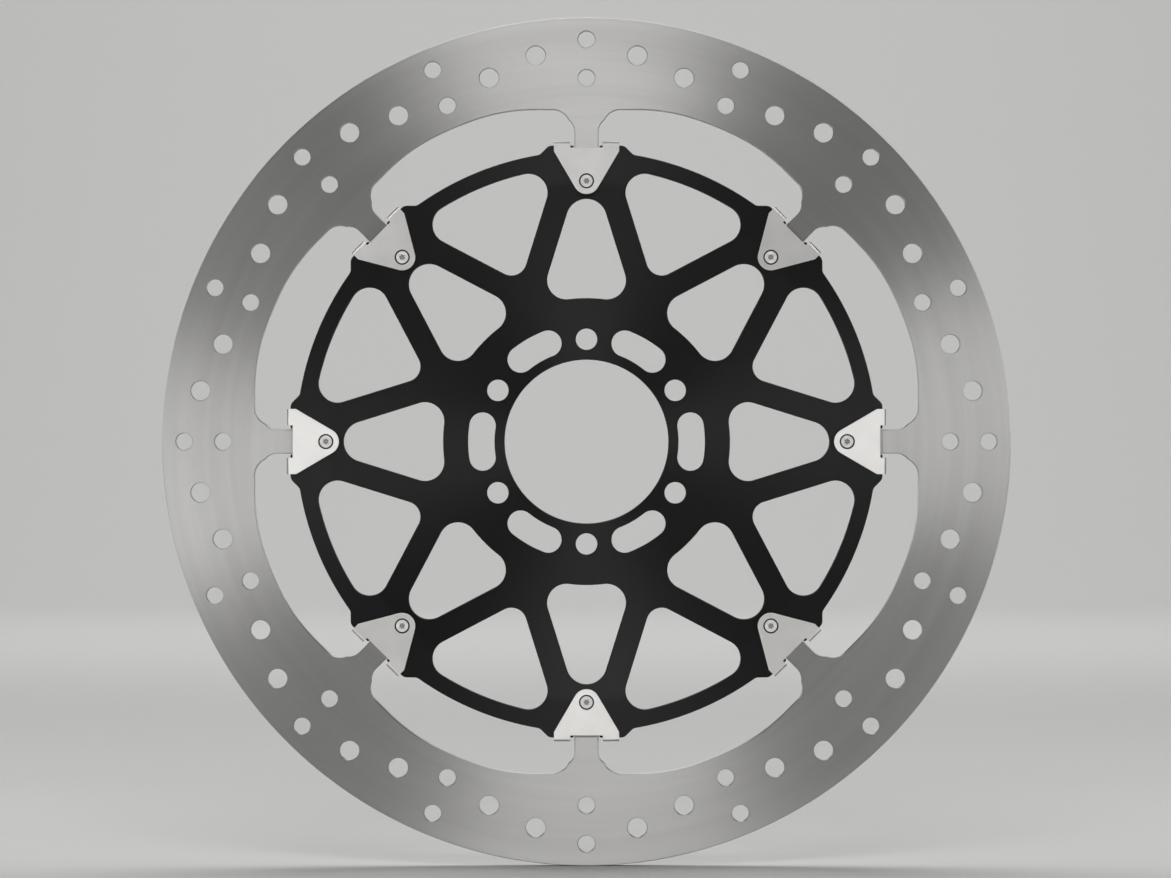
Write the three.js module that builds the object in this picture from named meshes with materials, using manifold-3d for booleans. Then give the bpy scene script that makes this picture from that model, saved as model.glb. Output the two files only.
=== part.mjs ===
// Floating brake disc for a motorcycle's front wheel: a drilled steel brake ring with eight inward
// T-shaped tabs, a dished aluminium carrier with eight T slots, and a spring clip, a countersunk
// screw and a locking nut at each tab.
//
// Every piece is drawn face-on: x to the right, y up, z towards the viewer, z = 0 on the rear face of
// the hub. A quarter turn about X then stands the disc upright, with its spin axis on Y, its front
// towards -Y and its origin at the centre of the bore on the rear face of the hub.
import * as THREE from "three";
import { mergeVertices } from "three/addons/utils/BufferGeometryUtils.js";
import Module from "manifold-3d";

const wasm = await Module();
wasm.setup();

// ---- Driving dimensions, in millimetres and degrees ----

const STATIONS = 8; // drive tabs, evenly spaced, the first at the top
const STATION_DEG = 360 / STATIONS;
const CHORD_ERROR = 0.12; // how far a facet may stand off a true arc
const RING_SIDES = 96;
const PRISM_MARGIN = 1; // how far a cutting prism runs past the faces it cuts

// Brake ring
const RING_R = 165;
const RING_FRONT = 12.75;
const RING_REAR = 7.25;
const RING_INNER_R = 132.5; // midway between two tabs
const RING_INNER_FLAT = 129.15; // height of the straight edge beside a tab
const RING_FLAT_END = 20; // where that straight edge starts to bend into the inner circle
const SHOULDER_X = 13.2; // where the straight edge ends and the tab's shoulder starts
const SHOULDER_R = 6.8;
const ROOT_R = 5.55; // fillet between the shoulder and the stem
const ROOT_Y = 120.6;
const STEM_HALF = 4.65;
const HEAD_HALF = 8;
const HEAD_TOP = 109.6;
const HEAD_BOTTOM = 105;
const HEAD_CORNER_R = 2.4;

// Drilling of the ring: each station repeats at 0, 7.5 and 15 degrees, mirrored about 22.5
const SMALL_HOLE_R = 3.3;
const LARGE_HOLE_R = 3.8;
const HOLE_SIDES = 12;
const PAIR_RADII = [141.5, 156.5]; // the pair of small holes, on every tab and midway between tabs
const LARGE_HOLES = [
  { deg: 7.5, radius: 151.5 },
  { deg: 15, radius: 146.5 },
  { deg: 30, radius: 146.5 },
  { deg: 37.5, radius: 151.5 },
];

// Carrier
const RIM_R = 113;
const RIM_FRONT = 13.15;
const RIM_REAR = 6.85;
const HUB_FRONT = 6;
const BOWL_FRONT = { inner: 48, outer: 100.5 }; // radii between which the front face is dished
const BOWL_REAR = { inner: 50, outer: 96.5 };
const LATHE_INNER_R = 28; // the turned blank, before the bore and the outline are cut
const LATHE_OUTER_R = 118;
const LATHE_SIDES = 48;
const LUG_TOP = 115.1;
const LUG_FOOT_DEG = 9.8; // bearing at which the lug's fillet meets the rim
const LUG_SHOULDER_X = 14.64; // where the lug's top would meet its 45 degree flank
const LUG_R = 3;
const SLOT_CLEARANCE = 0.4; // between the T tab and its slot, all round
const SLOT_CORNER_R = 0.4;

const OUTER_WINDOW = { arc: 107, apex: 67.3, halfDeg: 40, outerR: 7.5, innerR: 6 };
const INNER_WINDOW = { arc: 56, apex: 113.1, halfDeg: 17.5, topR: 7.95, bottomR: 7.6 };

const BORE_R = 32;
const BOLT_CIRCLE_R = 40;
const BOLT_HOLE_R = 4.2;
const BOLTS = 6;
const HUB_SLOT = { radius: 41.1, half: 5.18, endDeg: 8.7 };

// Retaining clip
const SHEET = 0.8;
const CLIP_GAP = 0.2; // between the clip and the faces of the carrier
const CLIP_HALF = 12.67;
const CLIP_NOTCH_HALF = 6.33;
const CLIP_NOTCH_Y = 114.25;
const CLIP_SHOULDER_Y = 112.9; // below this the sides taper to the round tip
const CLIP_EAR_TOP = 116.65;
const CLIP_TIP_R = 5.1;
const CLIP_BEND_R = 1; // outside of the folds
const CLIP_TONGUE_END = 106.6;

// Screw and nut of each clip
const SCREW_RADIUS = 101.35; // distance of the screw from the spin axis
const SCREW_SHANK_R = 1.4;
const SCREW_HOLE_R = 1.65;
const SCREW_HEAD_R = 2.45;
const SCREW_HEAD_EDGE = 0.15;
const SCREW_SINK = 0.35; // depth of the head below the clip's face
const SCREW_TAIL = 0.65; // length of thread beyond the nut
const SOCKET_R = 1.15;
const SOCKET_DEPTH = 0.9;
const CLIP_SINK_R = 3.1; // countersink in the clip, at its face
const CARRIER_SINK_R = 2.25;
const NUT_FLATS = 5.5;
const NUT_HEIGHT = 3;
const SCREW_SIDES = 16;

const CLIP_REAR = RIM_FRONT + CLIP_GAP;
const CLIP_FRONT = CLIP_REAR + SHEET;
const TONGUE_FRONT = RIM_REAR - CLIP_GAP;
const TONGUE_REAR = TONGUE_FRONT - SHEET;
const NUT_REAR = TONGUE_FRONT - NUT_HEIGHT;

// ---- Plane geometry ----

const rad = THREE.MathUtils.degToRad;
const point = (x, y) => new THREE.Vector2(x, y);
const polar = (radius, angle) => point(radius * Math.cos(angle), radius * Math.sin(angle));
const bearing = (radius, deg) => polar(radius, rad(90 - deg)); // clockwise from the top

// Points of an arc between two angles, counter-clockwise when the second is the larger.
function arc(centre, radius, from, to) {
  const step = 2 * Math.acos(1 - CHORD_ERROR / radius);
  const count = Math.max(2, Math.ceil(Math.abs(to - from) / step));
  return Array.from({ length: count + 1 }, (_, i) =>
    polar(radius, from + ((to - from) * i) / count).add(centre),
  );
}

function circle(centre, radius, sides) {
  return Array.from({ length: sides }, (_, i) =>
    polar(radius, (2 * Math.PI * i) / sides).add(centre),
  );
}

// A run of straight edges with its corners rounded; a corner without a radius stays sharp.
function rounded(corners) {
  return corners.flatMap(([x, y, radius], i) => {
    const here = point(x, y);
    if (!radius) return [here];
    const before = point(...corners[(i + corners.length - 1) % corners.length]).sub(here).normalize();
    const after = point(...corners[(i + 1) % corners.length]).sub(here).normalize();
    const half = Math.acos(before.dot(after)) / 2;
    const centre = before.clone().add(after).setLength(radius / Math.sin(half)).add(here);
    const start = before.multiplyScalar(radius / Math.tan(half)).add(here).sub(centre).angle();
    const end = after.multiplyScalar(radius / Math.tan(half)).add(here).sub(centre).angle();
    const sweep = THREE.MathUtils.euclideanModulo(end - start + Math.PI, 2 * Math.PI) - Math.PI;
    return arc(centre, radius, start, start + sweep);
  });
}

// The right half of an outline, followed by its mirror image in the y axis.
function mirrored(half) {
  return [...half, ...half.toReversed().map((p) => point(-p.x, p.y))];
}

function turned(points, deg) {
  return points.map((p) => p.clone().rotateAround(point(0, 0), rad(deg)));
}

// Copies of an outline turned counter-clockwise about the centre, as separate outlines.
function copies(points, count, firstDeg = 0) {
  return Array.from({ length: count }, (_, i) => turned(points, firstDeg + (i * 360) / count));
}

// The nearest (-1) or farthest (1) point of a line at a given distance from the origin.
function lineAtRadius(start, direction, radius, side) {
  const along = start.dot(direction);
  const t = -along + side * Math.sqrt(along ** 2 - start.lengthSq() + radius ** 2);
  return direction.clone().multiplyScalar(t).add(start);
}

// Where two circles cross, on the left of the way from the first centre to the second.
function circlesMeet(a, radiusA, b, radiusB) {
  const across = b.clone().sub(a);
  const gap = across.length();
  const along = (gap ** 2 + radiusA ** 2 - radiusB ** 2) / (2 * gap);
  const off = Math.sqrt(radiusA ** 2 - along ** 2);
  const u = across.divideScalar(gap);
  return a.clone().addScaledVector(u, along).addScaledVector(point(-u.y, u.x), off);
}

// ---- Solids ----

function extrude(outline, holes, low, high) {
  const shape = new THREE.Shape(outline);
  shape.holes = holes.map((hole) => new THREE.Path(hole));
  const options = { depth: high - low, bevelEnabled: false };
  return new THREE.ExtrudeGeometry(shape, options).translate(0, 0, low);
}

// A body turned about z from points of (radius, height).
function turn(profile, sides) {
  return new THREE.LatheGeometry(profile, sides).rotateX(Math.PI / 2);
}

function toSolid(geometry) {
  const plain = geometry.clone();
  plain.deleteAttribute("normal");
  plain.deleteAttribute("uv");
  const merged = mergeVertices(plain, 1e-4);
  const vertProperties = new Float32Array(merged.attributes.position.array);
  const triVerts = new Uint32Array(merged.index.array);
  return new wasm.Manifold(new wasm.Mesh({ numProp: 3, vertProperties, triVerts }));
}

function toGeometry(solid) {
  const mesh = solid.getMesh();
  const geometry = new THREE.BufferGeometry();
  geometry.setAttribute("position", new THREE.BufferAttribute(mesh.vertProperties, 3));
  geometry.setIndex(new THREE.BufferAttribute(mesh.triVerts, 1));
  geometry.computeVertexNormals();
  return geometry;
}

// ---- Brake ring ----

// One tab and the stretch of inner edge up to the next, counter-clockwise.
function ringInnerStation() {
  const bendR = (RING_INNER_R ** 2 - RING_INNER_FLAT ** 2 - RING_FLAT_END ** 2)
    / (2 * (RING_INNER_R - RING_INNER_FLAT));
  const bend = point(RING_FLAT_END, RING_INNER_FLAT - bendR);
  const shoulder = point(SHOULDER_X, RING_INNER_FLAT - SHOULDER_R);
  const root = point(STEM_HALF + ROOT_R, ROOT_Y);
  const kink = circlesMeet(root, ROOT_R, shoulder, SHOULDER_R);
  const half = [
    ...arc(bend, bendR, bend.angle(), Math.PI / 2),
    ...arc(shoulder, SHOULDER_R, Math.PI / 2, kink.clone().sub(shoulder).angle()),
    ...arc(root, ROOT_R, kink.clone().sub(root).angle(), Math.PI).slice(1),
    point(STEM_HALF, HEAD_TOP),
    point(HEAD_HALF, HEAD_TOP),
    ...arc(
      point(HEAD_HALF - HEAD_CORNER_R, HEAD_BOTTOM + HEAD_CORNER_R),
      HEAD_CORNER_R,
      0,
      -Math.PI / 2,
    ),
  ];
  const end = Math.PI - bend.angle();
  const next = bend.angle() + rad(STATION_DEG);
  return [...mirrored(half), ...arc(point(0, 0), RING_INNER_R, end, next).slice(1, -1)];
}

function ringHoles() {
  const pairs = PAIR_RADII.flatMap((radius) =>
    copies(circle(point(0, radius), SMALL_HOLE_R, HOLE_SIDES), 2 * STATIONS),
  );
  const large = LARGE_HOLES.flatMap(({ deg, radius }) =>
    copies(circle(bearing(radius, -deg), LARGE_HOLE_R, HOLE_SIDES), STATIONS),
  );
  return [...pairs, ...large];
}

function brakeRing() {
  const outline = circle(point(0, 0), RING_R, RING_SIDES);
  const inner = copies(ringInnerStation(), STATIONS).flat();
  return extrude(outline, [inner, ...ringHoles()], RING_REAR, RING_FRONT);
}

// ---- Carrier ----

// One lug with its T slot and the stretch of rim up to the next, counter-clockwise.
function rimStation() {
  const foot = bearing(RIM_R, LUG_FOOT_DEG);
  const flank = LUG_SHOULDER_X + LUG_TOP; // x + y along the 45 degree flank
  const along = point(-Math.cos(rad(LUG_FOOT_DEG)), Math.sin(rad(LUG_FOOT_DEG)));
  const t = (flank - foot.x - foot.y) / (along.x + along.y);
  const mouth = STEM_HALF + SLOT_CLEARANCE;
  const pocket = HEAD_HALF + SLOT_CLEARANCE;
  const ceiling = HEAD_TOP + SLOT_CLEARANCE;
  const floor = HEAD_BOTTOM - SLOT_CLEARANCE;
  const cornerR = HEAD_CORNER_R + SLOT_CLEARANCE;
  const half = rounded([
    [foot.x, foot.y],
    [foot.x + t * along.x, foot.y + t * along.y, LUG_R],
    [LUG_SHOULDER_X, LUG_TOP, LUG_R],
    [mouth, LUG_TOP, SLOT_CORNER_R],
    [mouth, ceiling, SLOT_CORNER_R],
    [pocket, ceiling, SLOT_CORNER_R],
    [pocket, floor, cornerR],
    [0, floor],
  ]);
  const start = rad(90 + LUG_FOOT_DEG);
  const end = rad(90 + STATION_DEG - LUG_FOOT_DEG);
  return [...mirrored(half.slice(1, -1)), ...arc(point(0, 0), RIM_R, start, end)];
}

// The large window between two lugs, drawn pointing up.
function outerWindow() {
  const { arc: outer, apex, halfDeg, outerR, innerR } = OUTER_WINDOW;
  const half = rad(halfDeg);
  const tip = point(0, apex);
  const side = point(Math.sin(half), Math.cos(half));
  const inward = point(-Math.cos(half), Math.sin(half));
  const offset = inward.clone().multiplyScalar(outerR).add(tip);
  const corner = lineAtRadius(offset, side, outer - outerR, 1);
  const right = [
    ...arc(point(0, apex + innerR / Math.sin(half)), innerR, -Math.PI / 2, -half),
    ...arc(corner, outerR, -half, corner.angle()),
  ];
  const middle = arc(point(0, 0), outer, corner.angle(), Math.PI - corner.angle()).slice(1, -1);
  const left = right.slice(1).toReversed().map((p) => point(-p.x, p.y));
  return [...right, ...middle, ...left];
}

// The smaller window below a lug, drawn pointing up.
function innerWindow() {
  const { arc: inner, apex, halfDeg, topR, bottomR } = INNER_WINDOW;
  const half = rad(halfDeg);
  const tip = point(0, apex);
  const side = point(Math.sin(half), -Math.cos(half));
  const inward = point(-Math.cos(half), -Math.sin(half));
  const offset = inward.clone().multiplyScalar(bottomR).add(tip);
  const corner = lineAtRadius(offset, side, inner + bottomR, -1);
  const towardsHub = corner.angle() - Math.PI;
  const right = [
    ...arc(corner, bottomR, towardsHub, half),
    ...arc(point(0, apex - topR / Math.sin(half)), topR, half, Math.PI / 2),
  ];
  const left = right.slice(0, -1).toReversed().map((p) => point(-p.x, p.y));
  const bottom = arc(point(0, 0), inner, Math.PI - corner.angle(), corner.angle()).slice(1, -1);
  return [...right, ...left, ...bottom];
}

// The curved slot between two bolt holes, drawn at the top of the hub.
function hubSlot() {
  const { radius, half, endDeg } = HUB_SLOT;
  const low = rad(90 - endDeg);
  const high = rad(90 + endDeg);
  return [
    ...arc(point(0, 0), radius + half, low, high),
    ...arc(polar(radius, high), half, high, high + Math.PI).slice(1),
    ...arc(point(0, 0), radius - half, high, low).slice(1),
    ...arc(polar(radius, low), half, low - Math.PI, low).slice(1, -1),
  ];
}

// Points of a face that curves up from flat at the inner radius to a given rise at the outer one.
function dish({ inner, outer }, base, level) {
  const run = outer - inner;
  const rise = level - base;
  const radius = (run ** 2 + rise ** 2) / (2 * rise);
  const centre = point(inner, base + radius);
  return arc(centre, radius, -Math.PI / 2, Math.asin(run / radius) - Math.PI / 2);
}

function turnedBlank() {
  const profile = [
    point(LATHE_INNER_R, HUB_FRONT),
    point(LATHE_INNER_R, 0),
    ...dish(BOWL_REAR, 0, RIM_REAR),
    point(LATHE_OUTER_R, RIM_REAR),
    point(LATHE_OUTER_R, RIM_FRONT),
    ...dish(BOWL_FRONT, HUB_FRONT, RIM_FRONT).toReversed(),
    point(LATHE_INNER_R, HUB_FRONT),
  ];
  return turn(profile, LATHE_SIDES);
}

function carrier() {
  const rim = copies(rimStation(), STATIONS).flat();
  const holes = [
    circle(point(0, 0), BORE_R, LATHE_SIDES),
    ...copies(circle(point(0, BOLT_CIRCLE_R), BOLT_HOLE_R, SCREW_SIDES), BOLTS),
    ...copies(hubSlot(), BOLTS, 180 / BOLTS),
    ...copies(innerWindow(), STATIONS),
    ...copies(outerWindow(), STATIONS, STATION_DEG / 2),
    ...copies(circle(point(0, SCREW_RADIUS), SCREW_HOLE_R, SCREW_SIDES), STATIONS),
  ];
  const cutter = extrude(rim, holes, -PRISM_MARGIN, RIM_FRONT + PRISM_MARGIN);
  let solid = toSolid(turnedBlank()).intersect(toSolid(cutter));
  const sink = sinkCutter(CARRIER_SINK_R, RIM_FRONT);
  for (let i = 0; i < STATIONS; i++) {
    solid = solid.subtract(toSolid(sink.rotateZ(rad(STATION_DEG))));
  }
  return toGeometry(solid);
}

// A 90 degree countersink about a clip's screw, with the given radius at the given face.
function sinkCutter(radius, face) {
  const top = face + PRISM_MARGIN;
  const profile = [point(0, face - radius), point(radius + PRISM_MARGIN, top), point(0, top)];
  return turn(profile, SCREW_SIDES).translate(0, SCREW_RADIUS, 0);
}

// ---- Retaining clip, drawn at the top station ----

function clipPlate() {
  const shoulder = point(CLIP_HALF, CLIP_SHOULDER_Y - SCREW_RADIUS);
  const tangent = shoulder.angle() - Math.acos(CLIP_TIP_R / shoulder.length());
  const half = [
    ...arc(point(0, SCREW_RADIUS), CLIP_TIP_R, -Math.PI / 2, tangent).slice(1),
    point(CLIP_HALF, CLIP_SHOULDER_Y),
    point(CLIP_HALF, CLIP_EAR_TOP - CLIP_BEND_R),
    point(CLIP_NOTCH_HALF, CLIP_EAR_TOP - CLIP_BEND_R),
    point(CLIP_NOTCH_HALF, CLIP_NOTCH_Y),
  ];
  const plate = toSolid(extrude(mirrored(half), [], CLIP_REAR, CLIP_FRONT));
  return plate.subtract(toSolid(sinkCutter(CLIP_SINK_R, CLIP_FRONT)));
}

// The fold of one ear, seen from the side: over the lug and down behind the T head.
function clipEar(left, right) {
  const inside = CLIP_BEND_R - SHEET;
  const profile = rounded([
    [CLIP_SHOULDER_Y, CLIP_FRONT],
    [CLIP_SHOULDER_Y, CLIP_REAR],
    [CLIP_EAR_TOP - SHEET, CLIP_REAR, inside],
    [CLIP_EAR_TOP - SHEET, TONGUE_FRONT, inside],
    [CLIP_TONGUE_END, TONGUE_FRONT],
    [CLIP_TONGUE_END, TONGUE_REAR],
    [CLIP_EAR_TOP, TONGUE_REAR, CLIP_BEND_R],
    [CLIP_EAR_TOP, CLIP_FRONT, CLIP_BEND_R],
  ]);
  const x = new THREE.Vector3(1, 0, 0);
  const y = new THREE.Vector3(0, 1, 0);
  const z = new THREE.Vector3(0, 0, 1);
  const sideOn = new THREE.Matrix4().makeBasis(y, z, x);
  return toSolid(extrude(profile, [], left, right).applyMatrix4(sideOn));
}

function retainingClip() {
  return toGeometry(
    clipPlate()
      .add(clipEar(CLIP_NOTCH_HALF, CLIP_HALF))
      .add(clipEar(-CLIP_HALF, -CLIP_NOTCH_HALF)),
  );
}

// ---- Screw and nut, drawn at the top station ----

function clipScrew() {
  const top = CLIP_FRONT - SCREW_SINK;
  const edge = top - SCREW_HEAD_EDGE;
  const profile = [
    point(0, NUT_REAR - SCREW_TAIL),
    point(SCREW_SHANK_R, NUT_REAR - SCREW_TAIL),
    point(SCREW_SHANK_R, edge - (SCREW_HEAD_R - SCREW_SHANK_R)),
    point(SCREW_HEAD_R, edge),
    point(SCREW_HEAD_R, top),
    point(SOCKET_R, top),
    point(SOCKET_R, top - SOCKET_DEPTH),
    point(0, top - SOCKET_DEPTH),
  ];
  return turn(profile, SCREW_SIDES).translate(0, SCREW_RADIUS, 0);
}

function lockNut() {
  const centre = point(0, SCREW_RADIUS);
  const corner = NUT_FLATS / Math.sqrt(3);
  const bore = circle(centre, SCREW_HOLE_R, SCREW_SIDES);
  return extrude(circle(centre, corner, 6), [bore], NUT_REAR, TONGUE_FRONT);
}

// ---- Assembly ----

const finish = (color, roughness, metalness) =>
  new THREE.MeshStandardMaterial({ color, roughness, metalness });

const BRAKE_STEEL = finish(0xacaca8, 0.35, 1);
const BLACK_ANODISED = finish(0x1c1c1d, 0.5, 0.4);
const SPRING_STEEL = finish(0xdcd8d4, 0.3, 1);
const SCREW_STEEL = finish(0xc6c6c4, 0.3, 1);
const NUT_STEEL = finish(0x9c9c98, 0.4, 1);

function piece(name, geometry, material) {
  const mesh = new THREE.Mesh(geometry, material);
  mesh.name = name;
  return mesh;
}

const upright = new THREE.Group();
upright.rotation.x = Math.PI / 2;
upright.add(
  piece("brake_ring", brakeRing(), BRAKE_STEEL),
  piece("carrier", carrier(), BLACK_ANODISED),
);

const clipShape = retainingClip();
const screwShape = clipScrew();
const nutShape = lockNut();

for (let number = 1; number <= STATIONS; number++) {
  const station = new THREE.Group();
  station.rotation.z = -rad((number - 1) * STATION_DEG);
  station.add(
    piece(`retaining_clip_${number}`, clipShape, SPRING_STEEL),
    piece(`clip_screw_${number}`, screwShape, SCREW_STEEL),
    piece(`lock_nut_${number}`, nutShape, NUT_STEEL),
  );
  upright.add(station);
}

const rotor = new THREE.Group();
rotor.add(upright);

export default rotor;
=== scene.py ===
"""Looks of a floating motorcycle brake disc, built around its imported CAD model.

Every CAD node is replaced by a finer piece of the same size in the same place: chamfered edges,
folded spring clips, six-lobe screws and locking nuts with real threads, and procedural metals.

Pieces are drawn face-on in millimetres: x to the right, y up, z towards the viewer, z = 0 on the
rear face of the hub. world() turns a drawn point into the frame, where the front of the disc
faces -Y. Pieces that repeat are drawn once, at the top of the disc, and turned round its axis.
"""

import math

import bmesh
import bpy
from mathutils import Matrix, Vector
from mathutils.geometry import delaunay_2d_cdt
from mathutils.kdtree import KDTree

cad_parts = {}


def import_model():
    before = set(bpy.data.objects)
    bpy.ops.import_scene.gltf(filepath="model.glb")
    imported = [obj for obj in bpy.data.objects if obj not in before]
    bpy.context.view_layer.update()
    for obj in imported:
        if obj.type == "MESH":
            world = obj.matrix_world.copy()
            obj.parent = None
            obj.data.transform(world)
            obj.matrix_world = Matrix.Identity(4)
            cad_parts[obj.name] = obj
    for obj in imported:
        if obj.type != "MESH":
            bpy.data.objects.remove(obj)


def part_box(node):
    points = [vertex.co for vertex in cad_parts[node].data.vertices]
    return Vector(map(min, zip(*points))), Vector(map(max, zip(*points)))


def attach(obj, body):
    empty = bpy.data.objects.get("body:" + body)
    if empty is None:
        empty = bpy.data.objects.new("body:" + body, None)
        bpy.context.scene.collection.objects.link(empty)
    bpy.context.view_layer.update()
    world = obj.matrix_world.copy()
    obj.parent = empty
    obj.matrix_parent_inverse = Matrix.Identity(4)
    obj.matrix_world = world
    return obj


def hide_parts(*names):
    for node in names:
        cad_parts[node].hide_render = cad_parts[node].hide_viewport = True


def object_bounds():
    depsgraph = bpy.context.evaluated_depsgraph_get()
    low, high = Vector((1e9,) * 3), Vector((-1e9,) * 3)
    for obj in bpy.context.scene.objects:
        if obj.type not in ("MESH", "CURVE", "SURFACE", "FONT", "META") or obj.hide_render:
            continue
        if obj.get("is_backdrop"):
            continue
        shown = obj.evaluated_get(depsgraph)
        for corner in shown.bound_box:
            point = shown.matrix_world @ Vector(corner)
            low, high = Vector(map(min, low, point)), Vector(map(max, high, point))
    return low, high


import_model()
cad_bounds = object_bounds()

MM = 0.001


def node_box(node):
    """Lowest and highest corner of a CAD node in the drawing's axes, in millimetres."""
    low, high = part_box(node)
    return Vector((low.x, low.z, -high.y)) / MM, Vector((high.x, high.z, -low.y)) / MM


RING_LOW, RING_HIGH = node_box("brake_ring")
CARRIER_HIGH = node_box("carrier")[1]
CLIP_HIGH = node_box("retaining_clip_1")[1]
SCREW_LOW, SCREW_HIGH = node_box("clip_screw_1")
NUT_LOW, NUT_HIGH = node_box("lock_nut_1")

# ---- Driving dimensions, in millimetres and degrees ----

STATIONS = 8
STATION_DEG = 360 / STATIONS

RING_R = RING_HIGH.x
RING_FRONT = RING_HIGH.z
RING_REAR = RING_LOW.z
RING_INNER_R = 132.5
RING_INNER_FLAT = 129.15
RING_FLAT_END = 20
SHOULDER_X = 13.2
SHOULDER_R = 6.8
ROOT_R = 5.55
ROOT_Y = 120.6
STEM_HALF = 4.65
HEAD_HALF = 8
HEAD_TOP = 109.6
HEAD_BOTTOM = 105
HEAD_CORNER_R = 2.4
RING_CHAMFER = 0.25
DRILL_CHAMFER = 0.18

SMALL_HOLE_R = 3.3
LARGE_HOLE_R = 3.8
PAIR_RADII = (141.5, 156.5)
LARGE_HOLES = ((7.5, 151.5), (15, 146.5), (30, 146.5), (37.5, 151.5))  # degrees from top, radius

RIM_R = 113
RIM_FRONT = CARRIER_HIGH.z
RIM_REAR = 6.85
HUB_FRONT = 6
BOWL_FRONT = (48, 100.5)  # radii between which the front face is dished
BOWL_REAR = (50, 96.5)
BROW_R = 9  # rounding where a dish meets the flat rim
DISH_ROW = 1.1  # between the circles of points that carry a dish
DISH_GAP = 2.2  # between the points of a circle
DISH_MARGIN = (1, 3)  # how far the circles go past the dish, inwards and outwards
DISH_CLEAR = 0.9  # from those points to an edge
CARRIER_EDGE = 1.5  # longest straight stretch of an edge
CARRIER_CHAMFER = 0.3
LUG_TOP = 115.1
LUG_FOOT_DEG = 9.8
LUG_SHOULDER_X = 14.64
LUG_R = 3
SLOT_CLEARANCE = 0.4
SLOT_CORNER_R = 0.4
OUTER_WINDOW = {"arc": 107, "apex": 67.3, "half_deg": 40, "outer_r": 7.5, "inner_r": 6}
INNER_WINDOW = {"arc": 56, "apex": 113.1, "half_deg": 17.5, "top_r": 7.95, "bottom_r": 7.6}
BORE_R = 32
BOLT_CIRCLE_R = 40
BOLT_HOLE_R = 4.2
BOLTS = 6
HUB_SLOT = {"radius": 41.1, "half": 5.18, "end_deg": 8.7}

SHEET = 0.8
CONTACT_GAP = 0.02  # between faces that touch
CLIP_FRONT = RIM_FRONT + CONTACT_GAP + SHEET
CLIP_REAR = RIM_REAR - CONTACT_GAP - SHEET
CLIP_HALF = CLIP_HIGH.x
CLIP_NOTCH_HALF = 6.33
CLIP_NOTCH_Y = 114.25
CLIP_SHOULDER_Y = 112.9
CLIP_EAR_TOP = CLIP_HIGH.y
CLIP_TIP_R = 5.1
CLIP_BEND_R = 1
CLIP_TONGUE_END = 106.6
CLIP_TONGUE_R = 1.6
CLIP_NOTCH_R = 0.35
CLIP_SHOULDER_R = 0.8
CLIP_EDGE = 0.12
CLIP_EDGE_LENGTH = 0.3  # longest straight stretch of an edge
FOLD_ROW = 0.15  # between the rows of points that carry a fold
FOLD_COLUMNS = 12
FOLD_MARGIN = 0.3  # from those points to an edge
PAINTED_CREASE_PLACE = 0.28  # painted shade line along the front fold, from where the bend starts
# half the width of the painted shade line along the front fold
PAINTED_CREASE_HALF = 0.13

SCREW_RADIUS = (SCREW_LOW.y + SCREW_HIGH.y) / 2
SCREW_HEAD_R = SCREW_HIGH.x
SCREW_SINK = 0.32  # from the clip's face down to the screw's
SCREW_TOP = CLIP_FRONT - SCREW_SINK
SCREW_TAIL = SCREW_LOW.z
SCREW_FACE_R = 1.5
SCREW_HEAD_STEPS = ((0.15, 0), (0.1, 0.04), (0, 0.33))  # inset and drop from the face to the cone
SCREW_NECK_R = 1.42
SCREW_HOLE_R = 1.65
SCREW_HOLE_CHAMFER = 0.1
SCREW_HEAD_ROOM = 0.1
SOCKET_R = 1.03
SOCKET_LOBE = 0.17
SOCKET_STEPS = ((-0.04, 0.6), (0, 0.56), (0, 0.05), (0.06, 0))  # growth and drop from the floor up
CLIP_SINK_R = 3.0
CLIP_SINK_WIDTH = 0.5
CLIP_SINK_DEPTH = 0.7
CLIP_SINK_REAR = 0.06

THREAD_MAJOR_R = 1.5
THREAD_MINOR_R = 1.2
THREAD_PITCH = 0.5
THREAD_ROWS = 8  # in a pitch
THREAD_FLANK = 1.3  # slope of the flanks against a plain zigzag, which leaves flat crests and roots
THREAD_PLAY = 0.06
THREAD_RUN_OUT = 0.4  # length over which the thread fades at the screw's tail
THREAD_TIP = 0.15  # how much thinner the screw gets on the way
SCREW_END_R = 1

NUT_HALF = (NUT_HIGH.y - NUT_LOW.y) / 2
NUT_HEIGHT = NUT_HIGH.z - NUT_LOW.z
NUT_FACE_INSET = 0.15
NUT_LIP = 0.05
NUT_CORNER = 0.3  # height of the chamfer on the corners
NUT_CORNER_ROWS = 6
NUT_MOUTH_R = 1.75
NUT_MOUTH_DEPTH = 0.2
COLLAR_HEIGHT = 0.9
COLLAR_EDGE = 0.15
COLLAR_INSETS = (0.35, 0.5, 0.62, 0.75)  # from the flats, at the rows of the collar

# ---- Plane geometry: points are 2-D vectors, angles radians anticlockwise from x ----

ARC_ERROR = 0.004  # how far a facet may stand off a true arc
SAME_POINT = 1e-4  # points nearer than this are one
SHARP_DEG = 32  # faces that meet at more than this have a sharp edge between them


def polar(radius, angle):
    return Vector((radius * math.cos(angle), radius * math.sin(angle)))


def angle_of(point):
    return math.atan2(point.y, point.x)


def arc(centre, radius, start, end):
    step = 2 * math.acos(1 - ARC_ERROR / radius)
    count = max(3, math.ceil(abs(end - start) / step))
    angles = [start + (end - start) * i / count for i in range(count + 1)]
    return [Vector(centre) + polar(radius, angle) for angle in angles]


def circle(centre, radius):
    return arc(centre, radius, 0, 2 * math.pi)[:-1]


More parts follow.
